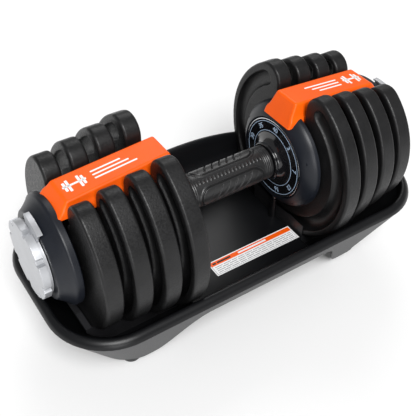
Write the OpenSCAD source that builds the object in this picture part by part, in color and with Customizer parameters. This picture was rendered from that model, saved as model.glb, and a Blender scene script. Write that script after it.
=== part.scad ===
// Adjustable dumbbell resting in its storage tray. Millimetres, +Z up.
// X runs along the handle, Z = 0 is the floor, and the origin is under the middle of the handle.

/* [Handle] */
// Height of the handle axis above the floor
axis_height = 133; // [132:0.5:134]
// Radius of the rubber grip
grip_radius = 17.5; // [16:0.5:18]
// Half the length of the rubber grip
grip_half_length = 50; // [48:0.5:50]
// Radius of the numbered dials
dial_radius = 43; // [42:0.5:43.5]
// Radius of the through shaft
shaft_radius = 8; // [7:0.5:8]

/* [Weight plates] */
// Radius of the largest plate, next to the handle
plate_radius = 95; // [92:0.5:95]
// Radius lost from each plate to the next one out
plate_step = 4; // [3.5:0.5:4]
// Thickness of every plate
plate_thickness = 17; // [15:0.5:17]
// Rounding of a plate's rim
plate_rim_round = 3; // [1.5:0.5:4]
// Depth of the crescent recess in a plate's faces
recess_depth = 4; // [1:0.5:4]

/* [Housings] */
// Radius of the round housing beside the grip
inner_housing_radius = 58; // [57:0.5:58]
// Radius of the wide end of the tapered outer housing
outer_housing_radius = 53; // [52:0.5:54]
// Radius of the narrow end of the tapered outer housing
outer_housing_end_radius = 42; // [41:0.5:43]
// Wall of the moulded housings
housing_wall = 2.5; // [2:0.25:2.5]

/* [Tray] */
// Half the length of the tray's rim
tray_half_length = 210; // [209:0.5:214]
// Half the width of the tray's rim
tray_half_width = 96; // [95:0.5:98]
// Height of the rim above the floor
rim_height = 90; // [88:0.5:90]
// Height of the raised middle of the back rim
back_crest_height = 113; // [105:1:114]
// Wall of the tray
tray_wall = 4; // [3:0.25:4]
// Height of the rubber feet
foot_height = 6; // [4:0.5:6]

/* [Hidden] */
$fn = 96;
eps = 0.01;
plates_per_side = 4;
settings = 9;
setting_angle = 360 / settings;
side_names = ["left", "right"];
side_signs = [-1, 1];

// Stations along X, measured from the middle of the handle
dial_face_x = 60;
dial_thickness = 3.7;
ring_x = 64.3;
ring_thickness = 3;
yoke_x = 68.2;
yoke_thickness = 2.5;
inner_back_x = 73;
back_plate_thickness = 2.5;
inner_housing_front_x = 59.2;
inner_housing_end_x = inner_back_x + back_plate_thickness;
first_plate_x = 85.5;
plate_pitch = 26;
outer_back_x = 181.5;
outer_housing_x = 177;
outer_shoulder_x = 183.2;
outer_housing_end_x = 196.5;
// Where the outer housing's cone eases towards the knob
outer_waist_x = 190.5;
outer_waist_radius = 45.5;
star_x = 197.2;
star_back_thickness = 4;
star_front_thickness = 6;
shaft_half_length = star_x + 5;

// Selector train
flat_height = shaft_radius - 1.2;
hub_radius = 12;
lug_inner = 18.5;
lug_outer = 23;
lug_reach = 3.4;
lug_half_width = 4;
lip_inner = lug_outer + 0.6;
lip_outer = lip_inner + 3.6;
web_offset = plate_thickness / 2 + 5;
web_thickness = 2.5;
lip_margin = 17;

// Plate slot and top notch
hub_slot_half = 15;
notch_half = 21;
notch_floor = 36;
horn_round = 17.5;
// How far the tip circle would pass the rim, so that the two meet at a clear angle
horn_rise = 1;
crescent_rim = 7.5;
crescent_width = 15;
crescent_gap = 42;

// Bridge
bar_half_width = 12;
bar_bottom = 40;
bar_thickness = 6;
bar_start_x = 66;
bar_end_x = 186;
cover_bottom = 47.5;
cover_top_half = 13;
cover_foot_half = 20;
cover_wall = 2.5;
cover_screw_x = [92, 150];
cover_boss_radius = 4;

// Lock
ring_radius = 30;
notch_depth = 4.5;
lock_travel = 4;
stem_radius = 1.9;
stem_x = yoke_x + yoke_thickness / 2;
ledge_z = -36;
spring_radius = 2.8;
spring_wire = 0.45;
spring_turns = 5;
flange_z = -48;
flange_radius = 3.3;
yoke_foot_z = -59;

// Fasteners
housing_screw_angles = [25, 155, 228, 312];
housing_screw_radius = 49.2;
outer_screw_radius = 38;
screw_shank = 1.4;
screw_head = 2.8;

// Tray
rim_band = 8;
rim_overhang = 2.5;
corner_radius = 62;
tub_foot = [176, 57];
tub_foot_corner = 42;
skirt_foot = [167, 61];
skirt_foot_corner = 41;
skirt_wall = 2.4;
tub_floor_top = 33.5;
tub_floor_bottom = 30;
platform_top = 48;
platform_half_length = 74;
cradle_side = [[76, tub_floor_top], [162, tub_floor_top], [178.5, 58], [178.5, 62], [76, 62]];
cradle_half_width = 43;
foot_place = [138, 48];
foot_radius = 10;
pad_radius = 12.5;
hollow_half_width = 49;
crest_half_chord = 115;
// One half of each arch in the skirt, from the floor to its flat top
long_arch = [[-116, -1], [-95, 20], [-84, 46], [-74, 58], [-62, 63]];
end_arch = [[-34, -1], [-24, 13], [-16, 17]];

// ---- helpers ----

// Keeps children on the right, or mirrors them to the left
module on_side(sign) {
    if (sign > 0) children();
    else mirror([1, 0, 0]) children();
}

// Local X, Y, Z become world Y, Z, X, about the handle axis
module along_axis(x) {
    translate([x, 0, axis_height]) rotate([90, 0, 90]) children();
}

module tube(outer, inner, length) {
    linear_extrude(length) difference() {
        circle(outer);
        circle(inner);
    }
}

// Round shaft section with one driving flat
module keyed_section() {
    difference() {
        circle(shaft_radius);
        translate([-shaft_radius, flat_height]) square([2 * shaft_radius, shaft_radius]);
    }
}

module rounded_rectangle(half_length, half_width, radius) {
    square([2 * (half_length - radius), 2 * half_width], center = true);
    square([2 * half_length, 2 * (half_width - radius)], center = true);
    for (sx = [-1, 1], sy = [-1, 1])
        translate([sx * (half_length - radius), sy * (half_width - radius)]) circle(radius);
}

module slab(half_length, half_width, radius, z, height) {
    translate([0, 0, z]) linear_extrude(height) rounded_rectangle(half_length, half_width, radius, $fn = 48);
}

function plate_r(i) = plate_radius - (i - 1) * plate_step;
function plate_x(i) = first_plate_x + (i - 1) * plate_pitch;
// The turn step at which a plate is left behind: outermost plates first, right before left
function drop_step(sign, i) = 2 * (plates_per_side - i) + (sign > 0 ? 1 : 2);

// ---- tray ----

// Tapered tub shape between the floor and a top height, shrunk by an inset
module tub_volume(inset, bottom, top) {
    hull() {
        slab(tray_half_length - rim_overhang - inset, tray_half_width - rim_overhang - inset,
            corner_radius - rim_overhang - inset, top - 1, 1);
        slab(tub_foot[0] - inset, tub_foot[1] - inset, tub_foot_corner - inset, bottom, 1);
    }
}

module back_crest() {
    rise = back_crest_height - rim_height;
    crest_radius = (pow(crest_half_chord, 2) + pow(rise, 2)) / (2 * rise);
    translate([0, tray_half_width, 0]) rotate([90, 0, 0]) linear_extrude(tray_wall) intersection() {
        translate([0, back_crest_height - crest_radius]) circle(crest_radius, $fn = 180);
        translate([-crest_half_chord, rim_height - rim_band]) square([2 * crest_half_chord, 2 * rise + rim_band]);
    }
}

module tray_shell() color("#1b1c1f") difference() {
    union() {
        difference() {
            union() {
                tub_volume(0, tub_floor_bottom, rim_height - rim_band + eps);
                slab(tray_half_length, tray_half_width, corner_radius, rim_height - rim_band, rim_band);
            }
            difference() {
                tub_volume(tray_wall - rim_overhang, tub_floor_top, rim_height + 1);
                translate([-platform_half_length, -tray_half_width, 0])
                    cube([2 * platform_half_length, 2 * tray_half_width, platform_top]);
            }
        }
        back_crest();
    }
    translate([-platform_half_length + tray_wall, -hollow_half_width, tub_floor_bottom - 1])
        cube([2 * (platform_half_length - tray_wall), 2 * hollow_half_width,
            platform_top - tub_floor_bottom - 2.5]);
    for (sx = [-1, 1], sy = [-1, 1]) translate([sx * foot_place[0], sy * foot_place[1], tub_floor_bottom - 1])
        cylinder(r = 2, h = 3.4);
}

// Wide sloping openings that leave a leg at each corner
module base_arches() {
    translate([0, tray_half_width + 5, 0]) rotate([90, 0, 0]) linear_extrude(2 * tray_half_width + 10)
        polygon(concat(long_arch, [for (k = [len(long_arch) - 1 : -1 : 0]) [-long_arch[k][0], long_arch[k][1]]]));
    translate([-tray_half_length - 5, 0, 0]) rotate([90, 0, 90]) linear_extrude(2 * tray_half_length + 10)
        polygon(concat(end_arch, [for (k = [len(end_arch) - 1 : -1 : 0]) [-end_arch[k][0], end_arch[k][1]]]));
}

module tray_base() color("#303236") {
    seam = rim_height - rim_band;
    difference() {
        hull() {
            slab(tray_half_length - 0.5, tray_half_width - 0.5, corner_radius - 0.5, seam - 1.05, 1);
            slab(skirt_foot[0], skirt_foot[1], skirt_foot_corner, foot_height, 1);
        }
        hull() {
            slab(tray_half_length - rim_overhang + 0.3, tray_half_width - rim_overhang + 0.3,
                corner_radius - rim_overhang + 0.3, seam - 0.5, 1);
            slab(skirt_foot[0] - skirt_wall, skirt_foot[1] - skirt_wall, skirt_foot_corner - skirt_wall,
                foot_height - 1, 1);
        }
        base_arches();
    }
    for (sx = [-1, 1], sy = [-1, 1]) translate([sx * foot_place[0], sy * foot_place[1], foot_height])
        difference() {
            union() {
                cylinder(r = pad_radius, h = 4);
                cylinder(r = 6, h = tub_floor_bottom - foot_height - 0.1);
            }
            translate([0, 0, -eps]) cylinder(r = 4.2, h = 2.7);
            translate([0, 0, -eps]) cylinder(r = 2.2, h = 40);
        }
}

module rubber_feet() color("#222222")
    for (sx = [-1, 1], sy = [-1, 1]) translate([sx * foot_place[0], sy * foot_place[1], 0]) {
        cylinder(r1 = foot_radius - 1, r2 = foot_radius, h = foot_height / 2);
        translate([0, 0, foot_height / 2]) cylinder(r = foot_radius, h = foot_height / 2);
    }

module tray_screws() color("#9a9da1")
    for (sx = [-1, 1], sy = [-1, 1]) translate([sx * foot_place[0], sy * foot_place[1], foot_height + 0.1]) {
        cylinder(r = 4, h = 2.5);
        cylinder(r = 2, h = tub_floor_top - foot_height - 1.5);
    }

module cradle(sign) color("#26272b") on_side(sign) difference() {
    translate([0, cradle_half_width, 0]) rotate([90, 0, 0]) linear_extrude(2 * cradle_half_width)
        polygon(cradle_side);
    for (i = [1 : plates_per_side]) along_axis(plate_x(i) - plate_thickness / 2 - 0.7)
        cylinder(r = plate_r(i) + 0.5, h = plate_thickness + 1.4, $fn = 180);
    along_axis(cradle_side[0][0] - 1) cylinder(r = 74, h = 200);
}

module unlock_posts() color("#3a3c40") for (sign = side_signs) on_side(sign) {
    translate([stem_x, 0, platform_top]) cylinder(r1 = 4.4, r2 = 3, h = 16);
    translate([stem_x, 0, platform_top + 16])
        cylinder(r = 3, h = axis_height + yoke_foot_z - platform_top - 16.3);
}

module care_label() color("white") translate([-33, -43, platform_top]) cube([106, 20, 0.3]);

// ---- frame ----

module inner_housing(sign) color("#2a2f3a") on_side(sign) difference() {
    edge = 8;
    rim = inner_housing_radius;
    front = inner_housing_front_x;
    along_axis(0) rotate_extrude() difference() {
        union() {
            translate([30, front]) square([rim - edge - 30, inner_housing_end_x - front]);
            translate([30, front + edge]) square([rim - 30, inner_housing_end_x - front - edge]);
            translate([rim - edge, front + edge]) circle(edge);
        }
        translate([0, front - 1]) square([dial_radius + 0.6, 4.9 + 1]);
        translate([0, front + 4.5]) square([rim - 4.5, 30]);
        translate([0, inner_back_x]) square([rim - housing_wall, 10]);
    }
    translate([stem_x - 4, -4, axis_height - rim - 5]) cube([8, 8, 20]);
}

module screw_bosses(radius, x, length) {
    for (a = housing_screw_angles) along_axis(x) rotate([0, 0, a]) translate([radius, 0, 0])
        tube(3.2, screw_shank, length);
}

module back_plate(x, radius, bore) difference() {
    along_axis(x) tube(radius, bore, back_plate_thickness);
    translate([x - 1, -bar_half_width - 0.1, axis_height + bar_bottom - 0.1])
        cube([5, 2 * bar_half_width + 0.2, bar_thickness + 0.2]);
}

module inner_back(sign) color("#23262e") on_side(sign) {
    difference() {
        back_plate(inner_back_x, inner_housing_radius - housing_wall - 0.1, 11);
        for (a = housing_screw_angles) along_axis(inner_back_x - 1) rotate([0, 0, a])
            translate([housing_screw_radius, 0, 0]) {
                cylinder(r = screw_shank, h = 5);
                translate([0, 0, 2]) cylinder(r = screw_head + 0.1, h = 5);
            }
    }
    difference() {
        translate([stem_x - 3.6, -6, axis_height + ledge_z]) cube([inner_back_x - stem_x + 3.6, 12, 3]);
        translate([stem_x, 0, axis_height + ledge_z - 1]) cylinder(r = stem_radius + 0.2, h = 6);
    }
    screw_bosses(housing_screw_radius, inner_housing_front_x + 4.6, inner_back_x - inner_housing_front_x - 4.6);
}

module outer_profile(grow) {
    polygon([[0, outer_housing_x], [outer_housing_radius - 1.5 - grow, outer_housing_x],
        [outer_housing_radius - grow, outer_housing_x + 1.5],
        [outer_housing_radius - grow, outer_shoulder_x],
        [outer_housing_radius - 1 - grow, outer_shoulder_x + 2],
        [outer_waist_radius - grow, outer_waist_x - grow / 2],
        [outer_housing_end_radius + 1.5 - grow, outer_housing_end_x - 1 - grow],
        [outer_housing_end_radius - grow, outer_housing_end_x - grow], [0, outer_housing_end_x - grow]]);
}

module outer_housing(sign) color("#2a2f3a") on_side(sign) {
    along_axis(0) rotate_extrude() difference() {
        outer_profile(0);
        outer_profile(housing_wall);
        translate([-1, outer_housing_x - 1]) square([outer_housing_radius - housing_wall + 1,
            outer_back_x + back_plate_thickness + 1 - outer_housing_x]);
        translate([-1, outer_housing_x]) square([12, 40]);
    }
    screw_bosses(outer_screw_radius, outer_back_x + back_plate_thickness, 9.6);
}

module outer_back(sign) color("#23262e") on_side(sign) difference() {
    back_plate(outer_back_x, outer_housing_radius - housing_wall - 0.1, 9);
    for (a = housing_screw_angles) along_axis(outer_back_x - 1) rotate([0, 0, a])
        translate([outer_screw_radius, 0, 0]) {
            cylinder(r = screw_shank, h = 5);
            cylinder(r = screw_head + 0.1, h = 2.5);
        }
}

module cover_side(grow) {
    polygon([[58.5 + grow, cover_bottom - 2 * grow], [60 + grow, 51], [70 + grow, 71 - grow],
        [169 - grow, 62 - grow], [178 - grow, 51], [183.5 - grow, 50], [183.5 - grow, cover_bottom - 2 * grow]]);
}

module cover_section(grow) {
    foot = cover_foot_half - grow;
    top = cover_top_half - grow;
    polygon([[-foot, cover_bottom - 2 * grow], [-foot, 51], [-foot + 2.5, 54], [-top - 1.5, 72 - grow],
        [top + 1.5, 72 - grow], [foot - 2.5, 54], [foot, 51], [foot, cover_bottom - 2 * grow]]);
}

module cover_volume(grow) intersection() {
    translate([0, 30, axis_height]) rotate([90, 0, 0]) linear_extrude(60) cover_side(grow);
    along_axis(50) linear_extrude(150) cover_section(grow);
}

module bridge_cover(sign) color("#ff6e28") on_side(sign) difference() {
    union() {
        difference() {
            cover_volume(0);
            cover_volume(cover_wall);
        }
        intersection() {
            cover_volume(0);
            for (x = cover_screw_x) translate([x, 0, axis_height + bar_bottom + bar_thickness + 0.1])
                cylinder(r = cover_boss_radius, h = 40);
        }
    }
    along_axis(40) cylinder(r = inner_housing_radius + 0.1, h = inner_housing_end_x - 40);
    along_axis(outer_housing_x) cylinder(r = outer_housing_radius + 0.1, h = 10);
    for (x = cover_screw_x) translate([x, 0, axis_height + bar_bottom]) cylinder(r = screw_shank, h = 18);
}

module bridge_bar(sign) color("#b9bcc0") on_side(sign) difference() {
    translate([bar_start_x, -bar_half_width, axis_height + bar_bottom])
        cube([bar_end_x - bar_start_x, 2 * bar_half_width, bar_thickness]);
    for (x = cover_screw_x) translate([x, 0, axis_height + bar_bottom - 1]) {
        cylinder(r = screw_shank + 0.2, h = 10);
        cylinder(r = screw_head + 0.2, h = 3.2);
    }
}

module bridge_screws() color("#9a9da1") for (sign = side_signs) on_side(sign)
    for (x = cover_screw_x) translate([x, 0, axis_height + bar_bottom]) {
        cylinder(r = screw_head, h = 2);
        cylinder(r = screw_shank, h = 16);
    }

module housing_screws() color("#9a9da1") for (sign = side_signs) on_side(sign)
    for (a = housing_screw_angles) {
        along_axis(inner_back_x + 1) rotate([0, 0, a]) translate([housing_screw_radius, 0, 0]) {
            cylinder(r = screw_head, h = 1.4);
            translate([0, 0, -8]) cylinder(r = screw_shank, h = 8.5);
        }
        along_axis(outer_back_x) rotate([0, 0, a]) translate([outer_screw_radius, 0, 0]) {
            cylinder(r = screw_head, h = 1.4);
            cylinder(r = screw_shank, h = 10);
        }
    }

module inner_bushing(sign) color("#d8d4c8") on_side(sign)
    along_axis(inner_back_x - 0.5) tube(11, shaft_radius + 0.05, back_plate_thickness + 1);

module outer_bushing(sign) color("#d8d4c8") on_side(sign)
    along_axis(outer_housing_end_x - housing_wall - 1) tube(11, shaft_radius + 0.05, housing_wall + 1);

// ---- selector ----

module main_shaft() color("#c9ccd0") difference() {
    along_axis(-shaft_half_length) cylinder(r = shaft_radius, h = 2 * shaft_half_length);
    for (sign = side_signs, span = [[dial_face_x, ring_x + ring_thickness], [77.5, 181], [star_x, 220]])
        on_side(sign) translate([span[0], -20, axis_height + flat_height])
            cube([span[1] - span[0], 40, 20]);
    for (sign = side_signs) translate([sign * 40, -20, axis_height]) rotate([-90, 0, 0])
        cylinder(r = 1.5, h = 40);
}

module handle_core() color("#3c3f44") difference() {
    along_axis(-54) tube(13.5, shaft_radius, 108);
    for (sign = side_signs) translate([sign * 40, -20, axis_height]) rotate([-90, 0, 0])
        cylinder(r = 1.5, h = 40);
}

module handle_pins() color("#9a9da1") for (sign = side_signs)
    translate([sign * 40, -13, axis_height]) rotate([-90, 0, 0]) cylinder(r = 1.5, h = 26);

module grip_sleeve() color("#17181a") difference() {
    along_axis(-grip_half_length) tube(grip_radius, 13.5, 2 * grip_half_length);
    for (sign = side_signs, k = [0 : 4]) on_side(sign) along_axis(grip_half_length - 2.5 - 2 * k)
        tube(grip_radius + 1, grip_radius - 0.5, 0.9);
}

module grip_collar(sign) color("#1d1e21") on_side(sign) along_axis(0) rotate_extrude()
    polygon([[13.5, grip_half_length], [18, grip_half_length], [18.2, 53], [19.5, 55.5], [22, 57.5],
        [26, 58.8], [26, dial_face_x], [shaft_radius, dial_face_x], [shaft_radius, 54], [13.5, 54]]);

module dial(sign) color("#0e0f11") on_side(sign) along_axis(dial_face_x) difference() {
    linear_extrude(dial_thickness) difference() {
        circle(dial_radius);
        keyed_section();
    }
    translate([0, 0, -1]) tube(dial_radius - 1.2, dial_radius - 2, 1.4);
}

module index_ring(sign) color("#c9ccd0") on_side(sign) along_axis(ring_x) linear_extrude(ring_thickness)
    difference() {
        circle(ring_radius);
        keyed_section();
        for (k = [0 : settings - 1]) rotate([0, 0, 90 + k * setting_angle])
            translate([ring_radius - notch_depth, -3.5]) square([10, 7]);
    }

// A hub and web whose part-ring lip carries the plate's lug until the drop step is reached
module selector_disc(sign, i) color("#b9bcc0") on_side(sign) along_axis(plate_x(i) + web_offset) {
    lip_start = -90 - setting_angle * (drop_step(sign, i) - 1) - lip_margin;
    lip_end = -90 + lip_margin;
    linear_extrude(web_thickness) difference() {
        circle(lip_outer);
        keyed_section();
    }
    translate([0, 0, web_thickness - plate_pitch + 3]) linear_extrude(plate_pitch - 3) difference() {
        circle(hub_radius);
        keyed_section();
    }
    translate([0, 0, web_thickness - 6]) linear_extrude(6 - eps) intersection() {
        difference() {
            circle(lip_outer);
            circle(lip_inner);
        }
        polygon(concat([[0, 0]], [for (k = [0 : 12]) let (a = lip_start + (lip_end - lip_start) * k / 12)
            2 * lip_outer * [cos(a), sin(a)]]));
    }
}

module retaining_clips() color("#9a9da1") for (sign = side_signs) on_side(sign)
    along_axis(outer_housing_end_x - housing_wall - 3) tube(10.5, shaft_radius, 1.2);

// Lobed disc: round core, evenly spaced lobes
module lobed_disc(core, reach, lobe, lobes, first) {
    circle(core);
    for (k = [0 : lobes - 1]) rotate([0, 0, first + k * 360 / lobes]) translate([reach, 0]) circle(lobe, $fn = 48);
}

module end_star(sign) color("#cfd2d6") on_side(sign) {
    along_axis(star_x) linear_extrude(star_back_thickness) difference() {
        lobed_disc(36, 35, 9.5, 2, 100);
        keyed_section();
    }
    along_axis(star_x + star_back_thickness) difference() {
        linear_extrude(star_front_thickness) difference() {
            lobed_disc(33, 30, 7.5, 8, 77);
            for (k = [0 : 7]) rotate([0, 0, 99.5 + k * 45]) translate([38, 0]) circle(6, $fn = 48);
        }
        translate([0, 0, -eps]) linear_extrude(shaft_half_length - star_x - star_back_thickness + eps)
            keyed_section();
    }
}

// ---- plates ----

// Face-on outline: disc with a hub slot, a wider notch above it and rounded horn tips
module plate_outline(r) {
    horn_y = notch_half + horn_round;
    horn_centre = r - horn_round + horn_rise;
    horn_z = sqrt(pow(horn_centre, 2) - pow(horn_y, 2));
    reach = 1.2 * r / horn_centre;
    difference() {
        circle(r, $fn = 180);
        circle(hub_slot_half);
        translate([-hub_slot_half, 0]) square([2 * hub_slot_half, r]);
        translate([-notch_half, notch_floor]) square([2 * notch_half, r]);
        for (s = [-1, 1]) difference() {
            polygon([[s * notch_half, horn_z], [s * horn_y, horn_z], [s * horn_y * reach, horn_z * reach],
                [s * notch_half, 1.3 * r]]);
            translate([s * horn_y, horn_z]) circle(horn_round);
        }
    }
}

// Crescent recess, its open part centred on the notch
module crescent(r) {
    far = 3 * r * [cos(crescent_gap), sin(crescent_gap)];
    difference() {
        circle(r - crescent_rim, $fn = 180);
        circle(r - crescent_rim - crescent_width, $fn = 180);
        polygon([[0, 0], far, [0, 3 * r], [-far[0], far[1]]]);
    }
}

module plate(sign, i) color("#202124") on_side(sign) along_axis(plate_x(i) - plate_thickness / 2) {
    r = plate_r(i);
    difference() {
        linear_extrude(plate_thickness) plate_outline(r);
        translate([0, 0, -1]) linear_extrude(recess_depth + 1) crescent(r);
        if (i < plates_per_side) translate([0, 0, plate_thickness - recess_depth])
            linear_extrude(recess_depth + 1) crescent(r);
        rotate_extrude($fn = 180) for (z = [0, plate_thickness])
            polygon([[r - plate_rim_round, z], [r + 1, z - (z > 0 ? 1 : -1) * (plate_rim_round + 1)],
                [r + 1, z + (z > 0 ? 1 : -1)], [r - plate_rim_round, z + (z > 0 ? 1 : -1)]]);
    }
    translate([-lug_half_width, -lug_outer, plate_thickness - 4]) cube([2 * lug_half_width,
        lug_outer - lug_inner, 4 + lug_reach]);
}

// ---- lock ----

module lock_yoke(sign) color("#9a9da1") on_side(sign) {
    along_axis(yoke_x) linear_extrude(yoke_thickness) difference() {
        translate([-16, -28]) square([32, 66]);
        circle(10);
        translate([-10, 0]) square([20, 5]);
        translate([0, 5]) circle(10);
    }
    along_axis(ring_x) translate([-2.6, 30.8, 0]) cube([5.2, 5.2, yoke_x - ring_x + eps]);
    translate([stem_x, 0, axis_height + yoke_foot_z]) cylinder(r = stem_radius, h = -yoke_foot_z - 27.5);
    translate([stem_x, 0, axis_height + flange_z - 2]) cylinder(r = flange_radius, h = 2);
}

// Compression spring between the ledge and the yoke's flange, as a swept coil
module lock_spring(sign) color("#c9ccd0") on_side(sign) {
    sides = 6;
    steps = 12 * spring_turns;
    low = axis_height + flange_z + spring_wire + 0.05;
    high = axis_height + ledge_z - spring_wire - 0.05;
    points = [for (k = [0 : steps], j = [0 : sides - 1]) let (a = 30 * k, b = 360 * j / sides,
        r = spring_radius + spring_wire * cos(b))
        [stem_x + r * cos(a), r * sin(a), low + (high - low) * k / steps + spring_wire * sin(b)]];
    walls = [for (k = [0 : steps - 1], j = [0 : sides - 1]) let (n = (j + 1) % sides)
        [k * sides + j, (k + 1) * sides + j, (k + 1) * sides + n, k * sides + n]];
    ends = [[for (j = [0 : sides - 1]) j], [for (j = [sides - 1 : -1 : 0]) steps * sides + j]];
    polyhedron(points, concat(walls, ends));
}

// ---- nodes ----

tray_shell();
tray_base();
rubber_feet();
tray_screws();
unlock_posts();
care_label();
bridge_screws();
housing_screws();
main_shaft();
handle_core();
grip_sleeve();
handle_pins();
retaining_clips();
for (k = [0, 1]) {
    cradle(side_signs[k]);
    inner_housing(side_signs[k]);
    inner_back(side_signs[k]);
    outer_housing(side_signs[k]);
    outer_back(side_signs[k]);
    bridge_cover(side_signs[k]);
    bridge_bar(side_signs[k]);
    inner_bushing(side_signs[k]);
    outer_bushing(side_signs[k]);
    grip_collar(side_signs[k]);
    dial(side_signs[k]);
    index_ring(side_signs[k]);
    end_star(side_signs[k]);
    lock_yoke(side_signs[k]);
    lock_spring(side_signs[k]);
    for (i = [1 : plates_per_side]) {
        plate(side_signs[k], i);
        selector_disc(side_signs[k], i);
    }
}
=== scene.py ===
"""Adjustable dumbbell in its storage tray: the looks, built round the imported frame."""

import math

import bmesh
import bpy
from bpy.props import FloatProperty, FloatVectorProperty, IntProperty, PointerProperty
from bpy.types import Operator, Panel, PropertyGroup
from mathutils import Matrix, Vector


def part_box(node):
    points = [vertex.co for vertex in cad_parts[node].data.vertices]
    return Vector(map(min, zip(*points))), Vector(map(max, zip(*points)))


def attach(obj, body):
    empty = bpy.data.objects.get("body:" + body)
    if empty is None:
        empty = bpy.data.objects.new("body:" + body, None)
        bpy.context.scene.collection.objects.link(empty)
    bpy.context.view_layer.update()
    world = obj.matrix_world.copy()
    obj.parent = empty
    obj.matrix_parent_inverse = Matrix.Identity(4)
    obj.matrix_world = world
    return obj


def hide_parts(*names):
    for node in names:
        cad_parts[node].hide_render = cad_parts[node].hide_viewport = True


bl_info = {
    "name": "Adjustable dumbbell",
    "version": (1, 0, 0),
    "blender": (4, 5, 0),
    "location": "3D View > Sidebar > Dumbbell",
    "description": "Builds a twist-handle dumbbell and its tray round the packed frame",
    "category": "Add Mesh",
}

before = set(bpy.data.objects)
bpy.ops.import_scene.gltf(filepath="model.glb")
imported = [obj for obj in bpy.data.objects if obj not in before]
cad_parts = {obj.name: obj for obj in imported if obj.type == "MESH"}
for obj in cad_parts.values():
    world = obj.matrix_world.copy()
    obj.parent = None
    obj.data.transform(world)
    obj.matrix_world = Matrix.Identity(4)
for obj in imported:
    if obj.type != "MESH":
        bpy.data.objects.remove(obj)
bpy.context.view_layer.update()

# Which way each end points along the handle
SIDES = {"left": -1, "right": 1}
PLATES = (1, 2, 3, 4)


def middle(node):
    low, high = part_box(node)
    return (low + high) / 2


AXIS_Z = middle("dial_right").z
SEAM_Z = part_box("tray_base")[1].z
TRAY_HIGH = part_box("tray_shell")[1]


# ---- what a user would change ----


def colour_property(name, text, value):
    return FloatVectorProperty(
        name=name, description=text, default=value, subtype="COLOR", size=3, min=0, max=1
    )


def length_property(name, text, value):
    return FloatProperty(name=name, description=text, default=value, unit="LENGTH", precision=4)


def angle_property(name, text, degrees):
    return FloatProperty(
        name=name, description=text, default=math.radians(degrees), subtype="ANGLE"
    )


class DumbbellColours(PropertyGroup):
    iron: colour_property("Iron", "Coating of the weight plates", (0.0068, 0.0068, 0.0072))
    housing: colour_property("Housing", "Moulded end housings", (0.0066, 0.0082, 0.0125))
    cover: colour_property("Cover", "Bridge covers and the label's band", (0.91, 0.108, 0.002))
    gloss: colour_property("Gloss black", "Dials and collars", (0.006, 0.006, 0.007))
    figures: colour_property("Figures", "Print on the dials", (0.42, 0.55, 0.72))
    print_white: colour_property("Print", "White print and label film", (0.86, 0.86, 0.86))
    silver: colour_property("Silver", "Satin end knobs", (0.47, 0.48, 0.50))
    rubber: colour_property("Rubber", "Grip sleeve", (0.012, 0.012, 0.0125))
    tray: colour_property("Tray", "Upper tray moulding", (0.0042, 0.0044, 0.0052))
    base: colour_property("Base", "Lower tray moulding", (0.022, 0.0225, 0.024))
    steel: colour_property("Steel", "Shafts, discs and fasteners", (0.46, 0.46, 0.47))


class DumbbellSizes(PropertyGroup):
    plate_round: length_property("Plate rounding", "Rounding of the plate's outer edges", 0.0030)
    face_ring: length_property("Face ring", "Flat ring outside the plate's channel", 0.0075)
    channel_half: length_property("Channel", "Half the width of the plate's channel", 0.0080)
    channel_depth: length_property("Channel depth", "Depth of the plate's channel", 0.0052)
    channel_end: angle_property("Channel end", "Where the channel stops, above level", 58)
    horn_round: length_property("Horn rounding", "Rounding of the horns beside the notch", 0.0175)
    cover_round: length_property("Cover rounding", "Rounding of the bridge cover's edges", 0.0022)
    panel_half_arc: angle_property("Panel half arc", "Half the arc of a grip panel", 38)
    panel_half_length: length_property("Panel", "Half the length of a grip panel", 0.036)
    groove_depth: length_property("Groove", "Depth of the grooves in the grip", 0.0011)
    steps_round: IntProperty(
        name="Round steps", description="Segments round a turned part", default=144, min=48
    )


class DumbbellStage(PropertyGroup):
    azimuth: angle_property("Azimuth", "Camera's turn round the object", -34.6)
    elevation: angle_property("Elevation", "Camera's height above level", 42.7)
    roll: angle_property("Roll", "Camera's roll", 1.7)
    distance: length_property("Distance", "From the camera to its target", 0.691)
    lens: FloatProperty(
        name="Lens", description="Focal length in mm", default=60.6, unit="CAMERA"
    )
    target: FloatVectorProperty(
        name="Target", description="What the camera looks at", subtype="TRANSLATION",
        unit="LENGTH", default=(-0.0239, -0.009, 0.1115),
    )
    key_power: FloatProperty(name="Key", description="Strength of the front light", default=3.2)
    fill_power: FloatProperty(name="Fill", description="Strength of the back light", default=0.55)
    low_power: FloatProperty(name="Low", description="Strength of the low light", default=0.9)
    sky_power: FloatProperty(name="Sky", description="Strength of the even light", default=0.30)


def colours():
    return bpy.context.scene.dumbbell_colours


def sizes():
    return bpy.context.scene.dumbbell_sizes


# ---- materials ----


# The part of a noise's range that a finish is spread over
NOISE_LOW, NOISE_HIGH = 0.3, 0.7
COAT_ROUGHNESS = 0.08


def add_noise(tree, vector, scale, detail):
    noise = tree.nodes.new("ShaderNodeTexNoise")
    noise.inputs["Scale"].default_value = scale
    noise.inputs["Detail"].default_value = detail
    tree.links.new(vector, noise.inputs["Vector"])
    return noise.outputs["Fac"]


def mottle_colour(tree, shader, noise, colour, amount):
    """Lets the colour run a little darker and lighter with the noise."""
    ramp = tree.nodes.new("ShaderNodeValToRGB")
    dark, light = ramp.color_ramp.elements
    dark.position, light.position = NOISE_LOW, NOISE_HIGH
    dark.color = (*(c * (1 - amount) for c in colour), 1)
    light.color = (*(min(1, c * (1 + amount)) for c in colour), 1)
    tree.links.new(noise, ramp.inputs["Fac"])
    tree.links.new(ramp.outputs["Color"], shader.inputs["Base Color"])


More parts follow.
